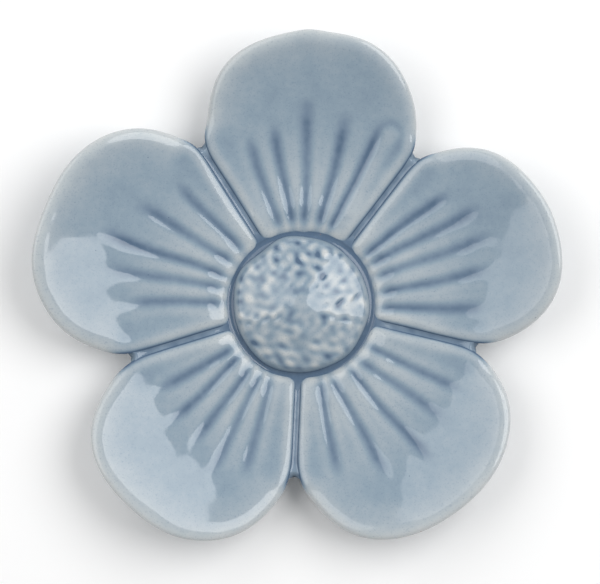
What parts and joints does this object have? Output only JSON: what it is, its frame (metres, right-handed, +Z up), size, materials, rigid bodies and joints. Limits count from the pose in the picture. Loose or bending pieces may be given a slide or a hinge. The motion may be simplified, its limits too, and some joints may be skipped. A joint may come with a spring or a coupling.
{
  "type": "mixing palette",
  "caption": "Flower-shaped glazed ceramic mixing palette: petal-shaped colour wells round a stippled domed boss, on a round foot ring.",
  "frame": {"origin": "middle of the boss, on the surface the palette stands on", "axes": "+Z up through the boss, +Y towards the back petal, +X to the right"},
  "size_m": [0.1498, 0.1438, 0.0201],
  "materials": {
    "petal_glaze": "glossy",
    "seam_glaze": "glossy",
    "boss_glaze": "glossy",
    "base_glaze": "glossy",
    "bare_clay": "matte, unglazed"
  },
  "bodies": {
    "root": {"petal_right": "petal_glaze", "petal_back": "petal_glaze", "petal_left": "petal_glaze", "petal_front_left": "petal_glaze", "petal_front_right": "petal_glaze", "seam_back_right": "seam_glaze", "seam_back_left": "seam_glaze", "seam_left": "seam_glaze", "seam_front": "seam_glaze", "seam_right": "seam_glaze", "centre_boss": "boss_glaze", "base_disc": "base_glaze", "foot_ring": "bare_clay"}
  },
  "joints": []
}
